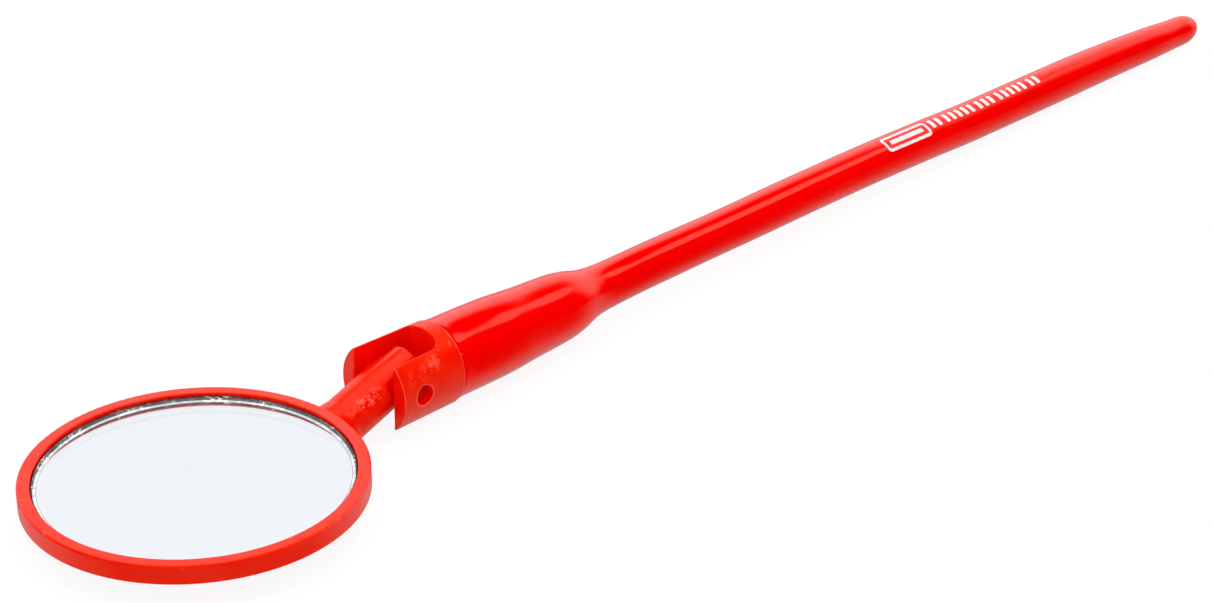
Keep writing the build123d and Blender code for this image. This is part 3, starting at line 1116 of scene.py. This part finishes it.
@dataclass
class PrintedMarking:
    """A plain framed bar and groups of plain strokes, printed on the sleeve."""

    shape: SleeveShape
    start: float = 124.0
    frame_angle: float = math.radians(25.0)
    frame_length: float = 13.2
    frame_width: float = 3.6
    frame_line: float = 0.62
    bar_length: float = 9.8
    bar_width: float = 0.95
    angle: float = math.radians(18.0)
    stroke_length: float = 1.02
    stroke_width: float = 2.2
    pitch: float = 1.95
    group_gap: float = 1.6
    groups: tuple[int, ...] = (2, 5, 3, 5, 2)
    corner: float = 0.3
    ink: float = 0.02
    root: float = -0.012
    cell: float = 0.35

    def build(self) -> None:
        """Build the print as one piece of thin ink."""
        mesh = bmesh.new()
        middle = self.start + self.frame_length / 2
        self._plate(mesh, middle, self.frame_angle, self.frame_length, self.frame_width, self.frame_line)
        self._plate(mesh, middle, self.frame_angle, self.bar_length, self.bar_width)
        station = self.start + self.frame_length + self.group_gap
        for count in self.groups:
            for number in range(count):
                place = station + number * self.pitch
                self._plate(mesh, place, self.angle, self.stroke_length, self.stroke_width)
            station += count * self.pitch + self.group_gap - self.stroke_length
        self._wrap(mesh)
        ink = PlainFinish("print_ink", (0.8, 0.73, 0.75), (0.9, 0.83, 0.85), 0.45, 1800.0, 0.003)
        marking = finish_mesh("printed_frame_and_strokes", mesh, [ink.build()])
        attach(marking, Body.HANDLE, Slot.INK, "printed_marking")

    def _outline(self, length: float, width: float, corner: float) -> list[Vector]:
        """Draw a rectangle round the origin, its corners rounded with five points each.

        Args:
            length: its size along X.
            width: its size along Y.
            corner: the radius of its corners.

        Returns:
            Its points, in order.
        """
        points = []
        for number in range(20):
            turn = math.pi / 8 * (number % 5) + math.pi / 2 * (number // 5)
            side_x, side_y = ((1, 1), (-1, 1), (-1, -1), (1, -1))[number // 5]
            middle = Vector((side_x * (length / 2 - corner), side_y * (width / 2 - corner), self.root))
            points.append(middle + corner * Vector((math.cos(turn), math.sin(turn), 0.0)))
        return points

    def _plate(
        self,
        mesh: bmesh.types.BMesh,
        station: float,
        angle: float,
        length: float,
        width: float,
        line: float = 0.0,
    ) -> None:
        """Add one flat plate of ink, still unwrapped: X along the handle, Y round it.

        Args:
            mesh: the bmesh of the whole print.
            station: the middle of the plate, behind the hinge.
            angle: the turn of its middle from the top of the handle.
            length: its size along the handle.
            width: its size round the handle.
            line: the width of the printed line when only the plate's edge is printed.
        """
        outer = [mesh.verts.new(point) for point in self._outline(length, width, self.corner + line)]
        if line:
            inside = self._outline(length - 2 * line, width - 2 * line, self.corner)
            inner = [mesh.verts.new(point) for point in inside]
            pairs = zip(outer, outer[1:] + outer[:1], inner[1:] + inner[:1], inner)
            faces = [mesh.faces.new(corners) for corners in pairs]
        else:
            inner = []
            faces = [mesh.faces.new(outer)]
        raised = bmesh.ops.extrude_face_region(mesh, geom=faces)["geom"]
        top = [item for item in raised if isinstance(item, bmesh.types.BMVert)]
        bmesh.ops.translate(mesh, vec=(0.0, 0.0, self.ink - self.root), verts=top)
        whole = {*outer, *inner, *top}
        cuts = max(1, round(width / self.cell))
        for number in range(1, cuts):
            cut = width * (number / cuts - 0.5)
            sides = {edge for vert in whole for edge in vert.link_edges}
            panes = {face for vert in whole for face in vert.link_faces}
            result = bmesh.ops.bisect_plane(
                mesh, geom=[*whole, *sides, *panes], dist=1e-6, plane_co=(0, cut, 0), plane_no=(0, 1, 0)
            )
            whole |= {item for item in result["geom_cut"] if isinstance(item, bmesh.types.BMVert)}
        radius = self.shape.radius(station)
        bmesh.ops.translate(mesh, vec=(station, angle * radius, 0.0), verts=list(whole))

    def _wrap(self, mesh: bmesh.types.BMesh) -> None:
        """Lay the flat print on the sleeve.

        Args:
            mesh: the flat print.
        """
        for vert in mesh.verts:
            station = vert.co.x
            radius = self.shape.radius(station)
            vert.co = self.shape.place(station, vert.co.y / radius, radius + vert.co.z)


# ---------------------------------------------------------------------------------------------
# Studio
# ---------------------------------------------------------------------------------------------


@dataclass
class Studio:
    """A pale floor in a white tent, whose near side is dark to gloss, and the camera."""

    floor_radius: float = 3.0
    floor_shade: float = 0.6
    floor_glow: float = 0.9
    floor_shadow: float = 0.12
    sky: float = 3.1
    key: float = 0.75
    key_width: float = math.radians(70.0)
    walls: float = 1.05
    wall_side: tuple[float, float] = (0.22, 0.55)
    wall_top: tuple[float, float] = degrees(31, 46)
    strip_left: tuple[float, float] = degrees(-34, -27)
    strip_right: tuple[float, float] = degrees(-10, 5)
    strip_foot: tuple[float, float] = degrees(35, 38)
    strip_head: tuple[float, float] = degrees(45.5, 49.5)
    ceiling: tuple[float, float] = degrees(56, 62)
    under: float = 0.56
    under_side: tuple[float, float] = (-0.38, 0.25)
    gap: float = 0.01
    dim_horizon: float = 0.6
    horizon_height: float = math.radians(12.0)
    horizon_blur: tuple[float, float] = degrees(-1, 1)
    camera_from_tray: Vector = field(default_factory=lambda: Vector((-0.23642, -0.31329, 0.2288)))
    heading: float = math.radians(43.71)
    low_heading: float = math.radians(55.0)
    pitch: float = math.radians(27.25)
    lens: float = 87.06
    hard_tones: tuple[tuple[float, float], ...] = (
        (0.015, 0.004),
        (0.05, 0.036),
        (0.16, 0.157),
        (0.5, 0.5),
    )

    def build(self) -> None:
        """Build the camera, the floor and the light."""
        self._contrast()
        self._camera()
        self._floor()
        self._tent()
        self._sky()

    def _camera(self) -> None:
        """The camera, placed from the middle of the tray's top face."""
        low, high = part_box("mirror_glass")
        tray_top = Vector(((low.x + high.x) / 2, 0.0, FRAME["joints"][0]["pos_m"][2] + 0.5 * MM))
        data = bpy.data.cameras.new("camera")
        data.lens = self.lens
        data.sensor_width = 36.0
        data.clip_start = 0.01
        camera = bpy.data.objects.new("camera", data)
        camera.location = tray_top + self.camera_from_tray
        camera.rotation_euler = (math.pi / 2 - self.pitch, 0.0, self.heading - math.pi / 2)
        bpy.context.scene.collection.objects.link(camera)
        bpy.context.scene.camera = camera

    def _floor(self) -> None:
        """A round pale floor that glows just enough to meet the tent with no edge."""
        mesh = bmesh.new()
        bmesh.ops.create_circle(mesh, cap_ends=True, segments=96, radius=self.floor_radius)
        material = bpy.data.materials.new("pale_floor")
        graph = ShaderGraph(material)
        seen = graph.add(
            "ShaderNodeBsdfPrincipled",
            Base_Color=rgba((self.floor_shadow,) * 3),
            Roughness=1.0,
            Emission_Color=(1.0, 1.0, 1.0, 1.0),
            Emission_Strength=self.floor_glow,
        )
        seen.inputs["Specular IOR Level"].default_value = 0.0
        bounce = graph.add("ShaderNodeBsdfDiffuse", Color=rgba((self.floor_shade,) * 3))
        mix = graph.add("ShaderNodeMixShader")
        graph.feed(mix.inputs[0], graph.add("ShaderNodeLightPath").outputs["Is Camera Ray"])
        graph.feed(mix.inputs[1], bounce.outputs["BSDF"])
        graph.feed(mix.inputs[2], seen.outputs["BSDF"])
        graph.output(mix.outputs["Shader"])
        floor = finish_mesh("floor", mesh, [material])
        floor.visible_glossy = False

    def _tent(self) -> None:
        """The world: white for the camera and the mirror, walls for gloss, nothing for matt surfaces."""
        world = bpy.data.worlds.new("tent")
        bpy.context.scene.world = world
        graph = ShaderGraph(world)
        ray = graph.add("ShaderNodeTexCoord").outputs["Generated"]
        seen = self._walls(graph, ray)
        path = graph.add("ShaderNodeLightPath")
        level = graph.blend(path.outputs["Is Diffuse Ray"], seen, rgba((0.0, 0.0, 0.0)))
        level = graph.blend(path.outputs["Is Transmission Ray"], level, rgba((self.walls,) * 3))
        level = graph.blend(path.outputs["Is Camera Ray"], level, rgba((1.0, 1.0, 1.0)))
        background = graph.add("ShaderNodeBackground", Color=level, Strength=1.0)
        graph.add("ShaderNodeOutputWorld", Surface=background.outputs["Background"])
        world.cycles.sampling_method = "NONE"

    def _sky(self) -> None:
        """The light for matt surfaces: a lamp as wide as the sky, and a soft one overhead."""
        lamps = (("tent_light", math.pi, self.sky), ("top_light", self.key_width, self.key))
        for name, width, energy in lamps:
            data = bpy.data.lights.new(name, "SUN")
            data.angle = width
            data.energy = energy
            data.cycles.use_multiple_importance_sampling = False
            lamp = bpy.data.objects.new(name, data)
            lamp.visible_glossy = False
            lamp.visible_transmission = False
            bpy.context.scene.collection.objects.link(lamp)

    def _contrast(self) -> None:
        """Print the picture a little harder in its darkest tones."""
        view = bpy.context.scene.view_settings
        view.view_transform = "Standard"
        view.use_curve_mapping = True
        curve = view.curve_mapping.curves[3]
        for tone, shown in self.hard_tones:
            curve.points.new(tone, shown)
        view.curve_mapping.update()

    def _towards(
        self, graph: ShaderGraph, ray: bpy.types.NodeSocket, heading: float
    ) -> bpy.types.NodeSocket:
        """How far a ray points along a level heading, from -1 to 1."""
        level = (math.cos(heading), math.sin(heading), 0.0)
        return graph.vector("DOT_PRODUCT", ray, level, "Value")

    def _walls(self, graph: ShaderGraph, ray: bpy.types.NodeSocket) -> bpy.types.NodeSocket:
        """What gloss sees of the tent.

        Args:
            graph: the world's tree.
            ray: the ray's direction.

        Returns:
            The light of the tent in the ray's direction.
        """
        axes = graph.add("ShaderNodeSeparateXYZ", Vector=ray).outputs
        height = graph.math("ARCSINE", axes["Z"])
        azimuth = graph.math("ARCTAN2", axes["Y"], axes["X"])
        away = self._towards(graph, ray, self.heading)
        low_away = self._towards(graph, ray, self.low_heading)
        wall = graph.product(
            graph.ramp(away, *self.wall_side), graph.ramp(height, *self.wall_top, 1.0, 0.0)
        )
        strip = graph.product(
            graph.ramp(azimuth, *self.strip_left),
            graph.ramp(azimuth, *self.strip_right, 1.0, 0.0),
            graph.ramp(height, *self.strip_foot),
            graph.ramp(height, *self.strip_head, 1.0, 0.0),
        )
        above = graph.math("MAXIMUM", wall, strip)
        above = graph.math("MAXIMUM", above, graph.ramp(height, *self.ceiling))
        above = graph.product(above, self.walls)
        below = graph.product(graph.ramp(low_away, *self.under_side), self.under)
        level = graph.blend(graph.ramp(height, *self.horizon_blur), below, above)
        steepness = graph.math("ABSOLUTE", height)
        horizon = graph.ramp(steepness, 0.0, self.horizon_height, self.dim_horizon)
        return graph.math("MAXIMUM", graph.product(level, horizon), self.gap)


def main() -> None:
    """Build the tool in order, in its studio."""
    logging.basicConfig(level=logging.INFO, format="%(name)s: %(message)s")
    Studio().build()
    MirrorHead().build()
    ForkedHead().build()
    shape = SleeveShape()
    DippedHandle(shape).build()
    PrintedMarking(shape).build()


if __name__ == "__main__":
    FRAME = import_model()
    main()
